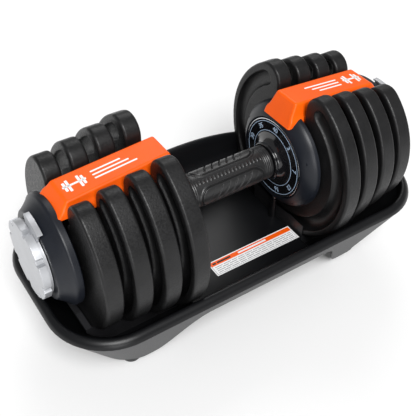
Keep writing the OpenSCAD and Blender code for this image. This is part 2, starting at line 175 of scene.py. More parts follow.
def vary_roughness(tree, shader, noise, low, high):
    spread = tree.nodes.new("ShaderNodeMapRange")
    spread.inputs["From Min"].default_value = NOISE_LOW
    spread.inputs["From Max"].default_value = NOISE_HIGH
    spread.inputs["To Min"].default_value = low
    spread.inputs["To Max"].default_value = high
    tree.links.new(noise, spread.inputs["Value"])
    tree.links.new(spread.outputs["Result"], shader.inputs["Roughness"])


def emboss_grain(tree, shader, noise, height):
    bump = tree.nodes.new("ShaderNodeBump")
    bump.inputs["Strength"].default_value = 1
    bump.inputs["Distance"].default_value = height
    tree.links.new(noise, bump.inputs["Height"])
    tree.links.new(bump.outputs["Normal"], shader.inputs["Normal"])


def moulded(name, colour, roughness=(0.42, 0.55), metallic=0.0, mottle=0.18, mottle_scale=60.0,
            grain_scale=1400.0, grain_height=0.00003, coat=0.0, specular=0.5, streak=None):
    """A finish with mottled colour, uneven roughness and a fine grain, all on object coordinates."""
    material = bpy.data.materials.get(name)
    if material:
        return material
    material = bpy.data.materials.new(name)
    material.use_nodes = True
    tree = material.node_tree
    shader = tree.nodes["Principled BSDF"]
    shader.inputs["Metallic"].default_value = metallic
    shader.inputs["Coat Weight"].default_value = coat
    shader.inputs["Coat Roughness"].default_value = COAT_ROUGHNESS
    shader.inputs["Specular IOR Level"].default_value = specular
    place = tree.nodes.new("ShaderNodeTexCoord")
    mapping = tree.nodes.new("ShaderNodeMapping")
    if streak:
        mapping.inputs["Scale"].default_value = streak
    tree.links.new(place.outputs["Object"], mapping.inputs["Vector"])
    broad = add_noise(tree, mapping.outputs["Vector"], mottle_scale, 4)
    grain = add_noise(tree, mapping.outputs["Vector"], grain_scale, 2)
    mottle_colour(tree, shader, broad, colour, mottle)
    vary_roughness(tree, shader, grain, *roughness)
    if grain_height:
        emboss_grain(tree, shader, grain, grain_height)
    return material


def coated_iron():
    return moulded("coated iron", colours().iron, roughness=(0.32, 0.52), mottle=0.3,
                   mottle_scale=70, grain_scale=620, grain_height=0.00016, specular=0.34)


def housing_plastic():
    return moulded("blue-black housing plastic", colours().housing, roughness=(0.34, 0.44),
                   mottle=0.12, grain_height=0.00002, specular=0.36)


def orange_plastic():
    return moulded("satin orange plastic", colours().cover, roughness=(0.34, 0.44), mottle=0.03,
                   grain_scale=1800, grain_height=0.000015, specular=0.3)


def gloss_black():
    return moulded("gloss black", colours().gloss, roughness=(0.10, 0.16), mottle=0.1, coat=0.4,
                   grain_height=0)


def dial_print():
    return moulded("pale dial print", colours().figures, roughness=(0.4, 0.5), mottle=0.05,
                   grain_height=0)


def white_print():
    return moulded("white print", colours().print_white, roughness=(0.4, 0.5), mottle=0.02,
                   grain_height=0)


def grey_print():
    return moulded("grey label print", (0.30, 0.30, 0.31), roughness=(0.5, 0.6), mottle=0.3,
                   mottle_scale=900, grain_height=0)


def dark_print():
    return moulded("dark label print", (0.02, 0.02, 0.02), roughness=(0.5, 0.6), mottle=0.1,
                   grain_height=0)


def satin_silver():
    return moulded("satin silver", colours().silver, roughness=(0.30, 0.40), metallic=0.55,
                   mottle=0.04, grain_scale=2200, grain_height=0.00001)


def chrome():
    return moulded("bright trim", (0.62, 0.63, 0.65), roughness=(0.12, 0.2), metallic=1.0,
                   mottle=0.03, grain_height=0)


def grip_rubber():
    return moulded("moulded grip rubber", colours().rubber, roughness=(0.28, 0.42), mottle=0.2,
                   grain_scale=2000, grain_height=0.00003)


def tray_plastic():
    return moulded("tray plastic", colours().tray, roughness=(0.30, 0.40), mottle=0.12,
                   grain_scale=1500, grain_height=0.00002, specular=0.3)


def base_plastic():
    return moulded("base plastic", colours().base, roughness=(0.45, 0.55), mottle=0.08,
                   grain_scale=1500, grain_height=0.00003)


def foot_rubber():
    return moulded("foot rubber", (0.012, 0.012, 0.012), roughness=(0.7, 0.85), mottle=0.2)


def cradle_plastic():
    return moulded("cradle plastic", (0.016, 0.016, 0.018), roughness=(0.45, 0.6), mottle=0.15)


def plated_steel():
    return moulded("plated steel", colours().steel, roughness=(0.22, 0.36), metallic=1.0,
                   mottle=0.08, grain_scale=900, grain_height=0.000006)


def turned_steel():
    return moulded("turned steel", colours().steel, roughness=(0.2, 0.34), metallic=1.0,
                   mottle=0.08, grain_scale=700, grain_height=0.00001, streak=(8, 1, 1))


# Painted shade: steel darkened far below its own colour, so the selector discs read black in the
# shaded gaps between the plates.
def blackened_steel():
    return moulded("blackened steel", (0.045, 0.045, 0.048), roughness=(0.3, 0.42), metallic=1.0,
                   mottle=0.15, grain_scale=900, grain_height=0.00001)


def bearing_polymer():
    return moulded("bearing polymer", (0.66, 0.62, 0.52), roughness=(0.45, 0.55), mottle=0.05)


# ---- mesh helpers ----


def arc(cx, cy, radius, start, end, steps):
    """Points on an arc, from one angle to another in degrees, both ends included."""
    angles = [math.radians(start + (end - start) * k / steps) for k in range(steps + 1)]
    return [(cx + radius * math.cos(a), cy + radius * math.sin(a)) for a in angles]


def side_matrix(sign, x=0.0):
    """Takes local X, Y, Z to world Y, Z and outward along the handle, about the handle's axis."""
    return Matrix(((0, 0, sign, sign * x), (1, 0, 0, 0), (0, 1, 0, AXIS_Z), (0, 0, 0, 1)))


def loop_edges(bm, points):
    """A closed loop of edges through 3-D points."""
    verts = [bm.verts.new(p) for p in points]
    return [bm.edges.new(pair) for pair in zip(verts, verts[1:] + verts[:1])]


def flat_loop(bm, points, z):
    return loop_edges(bm, [(x, y, z) for x, y in points])


def loft(bm, loops):
    """Walls between successive closed loops of points; returns the first and last loop's edges."""
    rings = [loop_edges(bm, points) for points in loops]
    for a, b in zip(rings, rings[1:]):
        bmesh.ops.bridge_loops(bm, edges=a + b)
    return rings[0], rings[-1]


def cap(bm, edges):
    return bmesh.ops.contextual_create(bm, geom=edges)["faces"]


def prism(bm, points, low, high):
    """A closed straight prism on an outline, from one height to another."""
    faces = cap(bm, flat_loop(bm, points, low))
    made = bmesh.ops.extrude_face_region(bm, geom=faces, use_keep_orig=True)["geom"]
    lifted = [v for v in made if isinstance(v, bmesh.types.BMVert)]
    bmesh.ops.translate(bm, verts=lifted, vec=(0, 0, high - low))
    bmesh.ops.recalc_face_normals(bm, faces=bm.faces)


def round_edges(bm, edges, width, segments=3):
    bmesh.ops.bevel(
        bm, geom=list(edges), offset=width, offset_type="OFFSET", segments=segments,
        profile=0.5, affect="EDGES", material=-1, clamp_overlap=True,
    )


def rim_edges(bm, heights, tolerance=1e-6):
    """Edges that lie wholly at one of the heights."""
    return [
        e for e in bm.edges
        if any(all(abs(v.co.z - h) < tolerance for v in e.verts) for h in heights)
    ]


def lathe(bm, profile, steps=None):
    """Spins a closed profile of (radius, station) points about the local Z axis."""
    verts = [bm.verts.new((r, 0, z)) for r, z in profile]
    edges = [bm.edges.new(pair) for pair in zip(verts, verts[1:] + verts[:1])]
    bmesh.ops.spin(
        bm, geom=verts + edges, cent=(0, 0, 0), axis=(0, 0, 1), angle=math.tau,
        steps=steps or sizes().steps_round, use_merge=True,
    )


def box(bm, low, high):
    """A block between two corners; returns its vertices."""
    low, high = Vector(low), Vector(high)
    place = Matrix.Translation((low + high) / 2) @ Matrix.Diagonal((*(high - low), 1))
    return bmesh.ops.create_cube(bm, size=1, matrix=place)["verts"]


def rounded_rectangle(half_x, half_y, radius, corner=14, long=48, short=16):
    """Outline points, anticlockwise, with the straight sides divided as well."""
    bends = [arc(sx * (half_x - radius), sy * (half_y - radius), radius, start, start + 90, corner)
             for sx, sy, start in ((1, -1, -90), (1, 1, 0), (-1, 1, 90), (-1, -1, 180))]
    points = []
    for bend, onward, steps in zip(bends, bends[1:] + bends[:1], (short, long, short, long)):
        (x0, y0), (x1, y1) = bend[-1], onward[0]
        points += bend
        points += [(x0 + (x1 - x0) * k / steps, y0 + (y1 - y0) * k / steps)
                   for k in range(1, steps)]
    return points


def smooth_step(low, high, value):
    """Rises smoothly from 0 to 1 as the value goes from low to high."""
    t = min(1.0, max(0.0, (value - low) / (high - low)))
    return t * t * (3 - 2 * t)


MERGE_DISTANCE = 0.000005


def new_piece(name, bm, materials, body, nodes=(), sharp=35, matrix=None):
    """Makes the finished object: merged, facing outwards, smooth shaded, riding on its body."""
    if matrix:
        bmesh.ops.transform(bm, matrix=matrix, verts=bm.verts)
    bmesh.ops.remove_doubles(bm, verts=bm.verts, dist=MERGE_DISTANCE)
    bmesh.ops.recalc_face_normals(bm, faces=bm.faces)
    mesh = bpy.data.meshes.new(name)
    bm.to_mesh(mesh)
    bm.free()
    for material in materials:
        mesh.materials.append(material)
    mesh.shade_smooth()
    mesh.set_sharp_from_angle(angle=math.radians(sharp))
    piece = bpy.data.objects.new(name, mesh)
    bpy.context.scene.collection.objects.link(piece)
    even = piece.modifiers.new("Even shading", "WEIGHTED_NORMAL")
    even.keep_sharp = True
    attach(piece, body)
    if nodes:
        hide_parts(*nodes)


def repaint(node, material):
    """Gives a carried-over node its finish."""
    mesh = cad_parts[node].data
    mesh.materials.clear()
    mesh.materials.append(material)


# ---- weight plates ----

PLATE_THICK = 0.017
HUB_SLOT_HALF = 0.015
NOTCH_HALF = 0.0208
NOTCH_FLOOR = 0.036

# The lug that reaches from a plate towards the next one out
LUG_HALF = 0.004
LUG_ROOT = 0.004
LUG_LOW, LUG_HIGH = -0.023, -0.0185
LUG_ROUND = 0.0006

# (change in half width, depth) round the channel's lip, then angles down into its bowl
CHANNEL_LIP = ((0.0009, 0), (0.0003, 0.00012), (-0.0003, 0.0006))
BOWL_ANGLES = (15, 32, 50, 68, 82)
BOWL_INSET = 0.0004


def plate_outline(radius):
    """Disc with a hub slot, a wider notch above it, and horns that round into the rim."""
    horn = sizes().horn_round
    horn_y = NOTCH_HALF + horn
    horn_z = math.sqrt((radius - horn) ** 2 - horn_y**2)
    meet = math.degrees(math.atan2(horn_z, horn_y))
    points = arc(0, 0, HUB_SLOT_HALF, 180, 360, 20)
    points += [(HUB_SLOT_HALF, NOTCH_FLOOR), (NOTCH_HALF, NOTCH_FLOOR)]
    points += arc(horn_y, horn_z, horn, 180, meet, 16)
    points += arc(0, 0, radius, meet, -180 - meet, 150)[1:-1]
    points += arc(-horn_y, horn_z, horn, 180 - meet, 0, 16)
    points += [(-NOTCH_HALF, NOTCH_FLOOR), (-HUB_SLOT_HALF, NOTCH_FLOOR)]
    return points


def channel_outline(radius, half):
    """A band along a circle, open at the top, with round ends."""
    end = math.degrees(sizes().channel_end)
    ends = [(radius * math.cos(math.radians(a)), radius * math.sin(math.radians(a)))
            for a in (180 - end, end)]
    points = arc(0, 0, radius + half, end, -180 - end, 110)
    points += arc(*ends[0], half, 180 - end, -end, 12)[1:]
    points += arc(0, 0, radius - half, -180 - end, end, 110)[1:]
    points += arc(*ends[1], half, 180 + end, end, 12)[1:-1]
    return points


def channel_steps():
    """(change in half width, depth) down the side of a plate's channel."""
    half, depth = sizes().channel_half, sizes().channel_depth
    start = CHANNEL_LIP[-1][1]
    bowl = [(math.cos(math.radians(a)), math.sin(math.radians(a))) for a in BOWL_ANGLES]
    return [*CHANNEL_LIP,
            *((half * (c - 1) - BOWL_INSET, start + (depth - start) * s) for c, s in bowl)]


def press_channel(bm, face, radius, outward):
    """Replaces a flat end face by one with the channel sunk into it."""
    height = face.calc_center_median().z
    rim = list(face.edges)
    bmesh.ops.delete(bm, geom=[face], context="FACES_ONLY")
    half = sizes().channel_half
    middle_radius = radius - sizes().face_ring - half
    rings = []
    for grow, depth in channel_steps():
        outline = channel_outline(middle_radius, half + grow)
        rings.append(flat_loop(bm, outline, height - outward * depth))
    for a, b in zip(rings, rings[1:]):
        bmesh.ops.bridge_loops(bm, edges=a + b)
    cap(bm, rings[-1])
    bmesh.ops.triangle_fill(bm, use_beauty=True, edges=rim + rings[0])


def press_faces(bm, radius, outermost):
    """Sinks the channel into both end faces, or only the inner one of an outermost plate."""
    flats = [f for f in bm.faces if abs(f.normal.z) > 0.999]
    flats.sort(key=lambda f: -f.calc_area())
    for face in flats[:2]:
        faces_out = face.calc_center_median().z > PLATE_THICK / 2
        if not (faces_out and outermost):
            press_channel(bm, face, radius, 1 if faces_out else -1)


def build_plate(side, index):
    node = f"plate_{side}_{index}"
    low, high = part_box(node)
    radius = (high.y - low.y) / 2
    near = min(abs(low.x), abs(high.x))
    bm = bmesh.new()
    prism(bm, plate_outline(radius), 0, PLATE_THICK)
    round_edges(bm, rim_edges(bm, (0, PLATE_THICK)), sizes().plate_round, 4)
    press_faces(bm, radius, index == PLATES[-1])
    lug = box(bm, (-LUG_HALF, LUG_LOW, PLATE_THICK - LUG_ROOT), (LUG_HALF, LUG_HIGH, high.x - low.x))
    round_edges(bm, {e for v in lug for e in v.link_edges}, LUG_ROUND, 2)
    new_piece(f"weight_plate_{side}_{index}", bm, [coated_iron()], node, [node],
              sharp=40, matrix=side_matrix(SIDES[side], near))


# ---- bridge covers ----

# Half of the section as (y, z), and the top's outline as (x, z), z from the handle's axis
COVER_SECTION = ((0.020, 0.0475), (0.020, 0.0532), (0.0174, 0.057), (0.0145, 0.072))
COVER_NEAR, COVER_FAR = 0.050, 0.1834
COVER_FRONT = ((0.0586, 0.046), (0.070, 0.071))
COVER_ROOF = ((0.070, 0.071), (0.169, 0.062))
COVER_TAIL_POINT = (0.178, 0, 0.0511)
COVER_TAIL_NORMAL = (0.774, 0, 0.633)
# Edges below this height stay sharp, where the cover meets the plates
COVER_SHARP_BELOW = 0.0476


def cut_away(bm, point, normal):
    """Removes what lies on the normal's side of a plane and closes the cut."""
    made = bmesh.ops.bisect_plane(
        bm, geom=bm.verts[:] + bm.edges[:] + bm.faces[:], plane_co=point, plane_no=normal,
        clear_outer=True,
    )
    edges = [g for g in made["geom_cut"] if isinstance(g, bmesh.types.BMEdge)]
    bmesh.ops.edgenet_fill(bm, edges=edges)


def slice_above(bm, start, end):
    """Cuts away what lies above the line from start to end, given as (x, z)."""
    (x0, z0), (x1, z1) = start, end
    cut_away(bm, (x0, 0, z0), Vector((z0 - z1, 0, x1 - x0)).normalized())


def build_bridge_cover(side):
    """Long roof with a slanted blunt end over the dial and a flared foot."""
    sign = SIDES[side]
    section = [*COVER_SECTION, *((-y, z) for y, z in reversed(COVER_SECTION))]
    bm = bmesh.new()
    prism(bm, section, COVER_NEAR, COVER_FAR)
    lie_down = Matrix(((0, 0, 1, 0), (1, 0, 0, 0), (0, 1, 0, 0), (0, 0, 0, 1)))
    bmesh.ops.transform(bm, matrix=lie_down, verts=bm.verts)
    slice_above(bm, *COVER_FRONT)
    slice_above(bm, *COVER_ROOF)
    cut_away(bm, COVER_TAIL_POINT, COVER_TAIL_NORMAL)
    bmesh.ops.dissolve_limit(bm, angle_limit=math.radians(1), verts=bm.verts[:], edges=bm.edges[:])
    rounded = [e for e in bm.edges if any(v.co.z >= COVER_SHARP_BELOW for v in e.verts)]
    round_edges(bm, rounded, sizes().cover_round, 4)
    matrix = Matrix(((sign, 0, 0, 0), (0, 1, 0, 0), (0, 0, 1, AXIS_Z), (0, 0, 0, 1)))
    new_piece(f"bridge_shell_{side}", bm, [orange_plastic()], "frame",
              [f"bridge_cover_{side}"], sharp=50, matrix=matrix)


def roof_matrix(sign):
    """Places flat print on the roof: local X runs from the tail towards the handle."""
    (x0, z0), (x1, z1) = COVER_ROOF
    slope = math.atan2(z1 - z0, x1 - x0)
    start = Matrix.Translation((sign * x1, 0, AXIS_Z + z1))
    turn = Matrix.Rotation(0 if sign < 0 else math.pi, 4, "Z")
    tilt = Matrix.Rotation(slope, 4, "Y")
    return start @ turn @ tilt


PRINT_FILM = 0.00012
PRINT_ROUND = 0.0006
# The barbell sign, along the roof from its tail: the bar, and (place, half length) of its discs
SIGN_START, SIGN_END, SIGN_BAR_HALF = 0.004, 0.026, 0.0011
SIGN_DISCS = ((0.0065, 0.0058), (0.0098, 0.0076), (0.0202, 0.0076), (0.0235, 0.0058))
SIGN_DISC_HALF = 0.0012
# Three plain bars beside it, each shorter than the last
STRIPES = 3
STRIPE_START, STRIPE_END, STRIPE_SHORTER = 0.032, 0.073, 0.006
STRIPE_FIRST, STRIPE_WIDTH, STRIPE_PITCH = -0.0056, 0.0018, 0.0047


def print_bars():
    """Corners (low, high) of each printed bar, on the roof."""
    bars = [((SIGN_START, -SIGN_BAR_HALF), (SIGN_END, SIGN_BAR_HALF))]
    bars += [((x - SIGN_DISC_HALF, -tall), (x + SIGN_DISC_HALF, tall)) for x, tall in SIGN_DISCS]
    for k in range(STRIPES):
        low = STRIPE_FIRST + STRIPE_PITCH * k
        bars.append(((STRIPE_START, low), (STRIPE_END - STRIPE_SHORTER * k, low + STRIPE_WIDTH)))
    return bars


def build_cover_print(side):
    """A plain barbell sign and plain bars, raised as thin print."""
    bm = bmesh.new()
    for low, high in print_bars():
        verts = box(bm, (*low, -PRINT_FILM), (*high, PRINT_FILM))
        upright = {e for v in verts for e in v.link_edges
                   if abs(e.verts[0].co.z - e.verts[1].co.z) > PRINT_FILM}
        round_edges(bm, upright, PRINT_ROUND, 3)
    new_piece(f"cover_print_{side}", bm, [white_print()], "frame",
              matrix=roof_matrix(SIDES[side]))


# ---- housings ----


# Profiles are (radius, station along the handle)
INNER_SHELL = ((0.0438, 0.0645), (0.0438, 0.0606), (0.0440, 0.0601), (0.0446, 0.0598),
               (0.0453, 0.0599), (0.0480, 0.0613), (0.0510, 0.0634), (0.0538, 0.0660),
               (0.0556, 0.0681), (0.0566, 0.0696), (0.0573, 0.0710), (0.0577, 0.0722),
               (0.0580, 0.0749), (0.0575, 0.0755), (0.0555, 0.0755), (0.0555, 0.0722),
               (0.0530, 0.0690), (0.0490, 0.0655), (0.0460, 0.0645))
OUTER_SHELL = ((0.0090, 0.1965), (0.0405, 0.1965), (0.0416, 0.1963), (0.0424, 0.1957),
               (0.0438, 0.1935), (0.0462, 0.1904), (0.0490, 0.1873), (0.0508, 0.1856),
               (0.0519, 0.1848), (0.0526, 0.1840), (0.0530, 0.1831), (0.0531, 0.1820),
               (0.0530, 0.1778), (0.0522, 0.1770), (0.0505, 0.1770), (0.0505, 0.1840),
               (0.0440, 0.1890), (0.0400, 0.1940), (0.0090, 0.1940))


def build_housing(side, layer, profile):
    bm = bmesh.new()
    lathe(bm, profile)
    new_piece(f"{layer}_shell_{side}", bm, [housing_plastic()], "frame",
              [f"{layer}_housing_{side}"], sharp=40, matrix=side_matrix(SIDES[side]))


# ---- dials and collars ----

# Weight at each setting, in pounds, going round from the top in the order they are printed
SETTINGS = (40, 35, 30, 26, 21, 16, 12, 7, 3)


DIAL_BORE, DIAL_EDGE = 0.0080, 0.0430
DIAL_BACK, DIAL_FACE = 0.0637, 0.0603
DIAL_TRIM = ((0.0430, 0.0604), (0.0427, 0.0601), (0.0420, 0.0600), (0.0415, 0.0602),
             (0.0410, 0.0603))
TRIM_INNER, TRIM_OUTER = 0.0414, 0.0429
CIRCLE_RADII = (0.0400, 0.0301)
CIRCLE_HALF = 0.00035
CIRCLE_FILM = 0.00012
FIGURE_SIZE = 0.0074
FIGURE_RADIUS = 0.0350
FIGURE_STATION = 0.06022
FIGURE_BOLD = 0.00012
FIGURE_RAISE = 0.00006


def add_dial_circle(bm, radius):
    """A thin printed circle on the dial's face."""
    inner, outer, top = radius - CIRCLE_HALF, radius + CIRCLE_HALF, DIAL_FACE - CIRCLE_FILM
    first = len(bm.faces)
    lathe(bm, [(inner, DIAL_FACE), (inner, top), (outer, top), (outer, DIAL_FACE)])
    bm.faces.ensure_lookup_table()
    for face in bm.faces[first:]:
        face.material_index = 2


def build_dial(side):
    """Gloss disc with a bright trim ring at its edge and two printed circles."""
    bm = bmesh.new()
    lathe(bm, [(DIAL_BORE, DIAL_BACK), (DIAL_EDGE, DIAL_BACK), *DIAL_TRIM, (DIAL_BORE, DIAL_FACE)])
    for face in bm.faces:
        radius = math.hypot(*face.calc_center_median().xy)
        face.material_index = int(TRIM_INNER < radius < TRIM_OUTER and face.normal.z < 0.5)
    for radius in CIRCLE_RADII:
        add_dial_circle(bm, radius)
    new_piece(f"dial_face_{side}", bm, [gloss_black(), chrome(), dial_print()], "selector",
              [f"dial_{side}"], sharp=40, matrix=side_matrix(SIDES[side]))


def figure_mesh(words, size):
    """Flat lettering as a mesh, centred on its own origin."""
    curve = bpy.data.curves.new("figure", "FONT")
    curve.body = words
    curve.size = size
    curve.align_x = "CENTER"
    curve.align_y = "CENTER"
    curve.offset = FIGURE_BOLD
    curve.extrude = FIGURE_RAISE
    curve.resolution_u = 4
    holder = bpy.data.objects.new("figure", curve)
    bpy.context.scene.collection.objects.link(holder)
    bpy.context.view_layer.update()
    mesh = bpy.data.meshes.new_from_object(
        holder.evaluated_get(bpy.context.evaluated_depsgraph_get()))
    bpy.data.objects.remove(holder)
    return mesh


def build_dial_figures(side):
    """The weights, with their tops outward, read from the grip's side."""
    sign = SIDES[side]
    bm = bmesh.new()
    step = math.tau / len(SETTINGS)
    face = Matrix(((0, 0, -sign, sign * FIGURE_STATION), (-sign, 0, 0, 0), (0, 1, 0, AXIS_Z),
                   (0, 0, 0, 1)))
    for k, weight in enumerate(SETTINGS):
        mesh = figure_mesh(str(weight), FIGURE_SIZE)
        turn = Matrix.Rotation(k * step * sign, 4, "Z")
        mesh.transform(face @ turn @ Matrix.Translation((0, FIGURE_RADIUS, 0)))
        bm.from_mesh(mesh)
        bpy.data.meshes.remove(mesh)
    new_piece(f"dial_figures_{side}", bm, [dial_print()], "selector")


COLLAR = ((0.0080, 0.0600), (0.0286, 0.0600), (0.0284, 0.0597), (0.0262, 0.0591),
          (0.0236, 0.0581), (0.0215, 0.0568), (0.0200, 0.0553), (0.0192, 0.0541),
          (0.0190, 0.0534), (0.0193, 0.0529), (0.0196, 0.0522), (0.0196, 0.0514),
          (0.0192, 0.0507), (0.0184, 0.0503), (0.0140, 0.0502), (0.0080, 0.0540))


def build_collar(side):
    """Gloss ring beside the grip that flares into a trumpet against the dial."""
    bm = bmesh.new()
    lathe(bm, COLLAR)
    new_piece(f"collar_{side}", bm, [gloss_black()], "selector",
              [f"grip_collar_{side}"], sharp=60, matrix=side_matrix(SIDES[side]))


# ---- grip ----

PANEL_CENTRES = (60, 180, 300)
TICK_CENTRES = (0, 120, 240)


def across(angle, centres, radius):
    """Distance round the sleeve from the nearest of the centres, signed, in metres."""
    best = min(centres, key=lambda c: abs((angle - c + 180) % 360 - 180))
    return math.radians((angle - best + 180) % 360 - 180) * radius


SLEEVE_RADIUS = 0.0174
SLEEVE_STEPS = (230, 270)
SLEEVE_MERGE = 0.00002
SLEEVE_END_SHARE = 0.84

PANEL_RISE = 0.0005
SLASH_SLANT, SLASH_PITCH, SLASH_DEEPER = 0.62, 0.0086, 1.15
TICK_PITCH, TICK_RISE = 0.0042, 0.0006
RIB_PITCH, RIB_RISE = 0.0021, 0.00022
END_DROP = 0.0012


def off_pitch(value, pitch):
    """Distance from the nearest whole multiple of the pitch."""
    return abs((value + pitch / 2) % pitch - pitch / 2)


def panel_edge(x, around, radius):
    """Distance outside a panel's round-ended outline, negative inside it."""
    half_arc = sizes().panel_half_arc * radius
    beyond = max(0.0, abs(x) - (sizes().panel_half_length - half_arc))
    return math.hypot(beyond, around) - half_arc


def panel_height(edge):
    """A groove round the panel, a rail outside it and the raised panel itself."""
    groove = 1 - smooth_step(0.0002, 0.0009, abs(edge))
    rail = 1 - smooth_step(0.0003, 0.0011, abs(edge - 0.0016))
    inside = smooth_step(0.0004, 0.0014, -edge)
    return PANEL_RISE * (rail + inside) - sizes().groove_depth * groove


def slash_height(x, around, edge):
    """Slanted cuts across a panel's middle."""
    slant = x + SLASH_SLANT * around
    slash = 1 - smooth_step(0.0003, 0.0010, off_pitch(slant, SLASH_PITCH))
    reach = smooth_step(0.0, 0.002, 0.0095 - abs(around)) * smooth_step(0, 0.002, 0.026 - abs(slant))
    inside = smooth_step(0.0004, 0.0014, -edge)
    return -sizes().groove_depth * SLASH_DEEPER * slash * inside * reach


def tick_height(x, angle, radius):
    """A row of short ticks between the panels."""
    aside = abs(across(angle, TICK_CENTRES, radius))
    tick = 1 - smooth_step(0.0004, 0.0011, off_pitch(x, TICK_PITCH))
    row = smooth_step(0.0, 0.0008, 0.0022 - aside) * smooth_step(0, 0.001, 0.038 - abs(x))
    return TICK_RISE * tick * row


def rib_height(x, edge):
    """Fine ribs round both ends of the sleeve."""
    ring = math.cos(math.tau * x / RIB_PITCH) * smooth_step(0.0385, 0.0400, abs(x))
    reach = smooth_step(0, 0.001, 0.0478 - abs(x)) * smooth_step(0, 0.001, edge)
    return RIB_RISE * ring * reach


def grip_height(x, angle, radius):
    """How far the sleeve's surface stands above or below its plain radius."""
    around = across(angle, PANEL_CENTRES, radius)
    edge = panel_edge(x, around, radius)
    height = panel_height(edge) + slash_height(x, around, edge)
    height += tick_height(x, angle, radius) + rib_height(x, edge)
    return height - END_DROP * smooth_step(0.0486, 0.0500, abs(x))


def build_grip():
    """Rubber sleeve with three slashed panels, rows of ticks and ribbed ends."""
    half_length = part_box("grip_sleeve")[1].x
    axis = Vector((0, AXIS_Z))
    steps_along, steps_round = SLEEVE_STEPS
    bm = bmesh.new()
    bmesh.ops.create_grid(bm, x_segments=steps_along, y_segments=steps_round, size=0.5)
    for vert in bm.verts:
        x = vert.co.x * 2 * half_length
        angle = (vert.co.y + 0.5) * 360
        r = SLEEVE_RADIUS + grip_height(x, angle, SLEEVE_RADIUS)
        turn = math.radians(angle)
        vert.co = Vector((x, r * math.cos(turn), AXIS_Z + r * math.sin(turn)))
    bmesh.ops.remove_doubles(bm, verts=bm.verts, dist=SLEEVE_MERGE)
    ends = [e for e in bm.edges if e.is_boundary]
    made = bmesh.ops.extrude_edge_only(bm, edges=ends)["geom"]
    for vert in (g for g in made if isinstance(g, bmesh.types.BMVert)):
        vert.co.yz = axis + (vert.co.yz - axis) * SLEEVE_END_SHARE
    new_piece("grip_rubber_sleeve", bm, [grip_rubber()], "selector",
              ["grip_sleeve"], sharp=70)


# ---- end knobs ----


def star_outline(outer, inner, lobes, lobe_arc, flank, first):
    """Lobes with flat-ended arcs, straight flanks and a lower arc between them."""
    points = []
    pitch = 360 / lobes
    for k in range(lobes):
        middle_angle = first + k * pitch
        start, end = middle_angle - lobe_arc / 2, middle_angle + lobe_arc / 2
        points += arc(0, 0, outer, start, end, 8)
        points += arc(0, 0, inner, end + flank, middle_angle + pitch - lobe_arc / 2 - flank, 4)
    return points


KNOB_LOBES = 8
LOBE_RADIUS, LOBE_VALLEY = 0.0372, 0.0322
LOBE_ARC, LOBE_FLANK, FIRST_LOBE = 34, 2.5, 77
KNOB_BACK, KNOB_FRONT = 0.2000, 0.2070
KNOB_ROUND = 0.0007
RING_RADIUS = 0.0345
RING_BACK, RING_FRONT = 0.1972, 0.2001
TAB_CENTRES = (100, 280)
TAB_HALF_ARC = 17
# (outer radius, inner radius, back, front) of a tab's plate and of the rim at its edge
TAB_BANDS = ((0.0462, 0.0320, 0.1972, 0.1998), (0.0475, 0.0455, 0.1945, 0.1998))
TAB_ROUND = 0.0005
TAB_CREASE = 0.6


def add_tab(bm, centre):
    """A finger tab with a rim that turns back at its edge."""
    start = len(bm.verts)
    low, high = centre - TAB_HALF_ARC, centre + TAB_HALF_ARC
    for outer, inner, back, front in TAB_BANDS:
        prism(bm, arc(0, 0, outer, low, high, 14) + arc(0, 0, inner, high, low, 14), back, front)
    bm.verts.ensure_lookup_table()
    edges = {e for v in bm.verts[start:] for e in v.link_edges if e.calc_face_angle(0) > TAB_CREASE}
    round_edges(bm, edges, TAB_ROUND, 2)


def build_star(side):
    """Two-layer silver knob: a lobed front plate and a wider ring with two finger tabs."""
    lobes = star_outline(LOBE_RADIUS, LOBE_VALLEY, KNOB_LOBES, LOBE_ARC, LOBE_FLANK, FIRST_LOBE)
    bm = bmesh.new()
    prism(bm, lobes, KNOB_BACK, KNOB_FRONT)
    round_edges(bm, rim_edges(bm, (KNOB_FRONT,)), KNOB_ROUND, 3)
    prism(bm, arc(0, 0, RING_RADIUS, 0, 357.5, 143), RING_BACK, RING_FRONT)
    for centre in TAB_CENTRES:
        add_tab(bm, centre)
    new_piece(f"end_knob_{side}", bm, [satin_silver()], "selector",
              [f"end_star_{side}"], sharp=40, matrix=side_matrix(SIDES[side]))


# ---- tray ----

RIM_Z = 0.090
RIM_CORNER = 0.062
CREST_HALF = 0.115
CREST_DEPTH = 0.030

# Outlines are (half length, half width, corner); levels are (inset, height, share of the crest)
TUB_FOOT_OUTSIDE = (0.176, 0.057, 0.042)
TUB_FOOT_INSIDE = (0.172, 0.053, 0.038)
TUB_BOTTOM = 0.0305
TUB_RIM = (
    (0.0030, 0.0800, 0), (0.0028, 0.0818, 0), (0.0008, 0.0820, 0), (0, 0.0826, 0),
    (0.0001, 0.0836, 0.1), (0.0010, 0.0862, 0.75), (0.0026, 0.0882, 0.97), (0.0048, 0.0895, 1),
    (0.0068, 0.0900, 1), (0.0084, 0.0894, 1), (0.0096, 0.0878, 0.98), (0.0104, 0.0850, 0.85),
    (0.0112, 0.0810, 0.3), (0.0120, 0.0780, 0),
)
WALL_INSET = 0.0120
WALL_TOP, WALL_LOW = 0.0780, 0.0385
WALL_SHARES = (0.25, 0.5, 0.75, 0.9, 0.97)
# (height, outline) where the wall rounds into the floor
TUB_FLOOR = ((0.0352, (0.170, 0.051, 0.036)), (0.0336, (0.166, 0.047, 0.032)))
STEP_HALF_X, STEP_HALF_Y = 0.074, 0.0660
STEP_LOW, STEP_TOP = 0.032, 0.048
STEP_ROUND = 0.003


def crest_rise(x, y, half_width):
    """How much higher the back rim stands, an arch over the middle of the far side."""
    rise = TRAY_HIGH.z - RIM_Z
    if abs(x) >= CREST_HALF or y < half_width - CREST_DEPTH:
        return 0.0
    radius = (CREST_HALF**2 + rise**2) / (2 * rise)
    return math.sqrt(radius**2 - x * x) - (radius - rise)


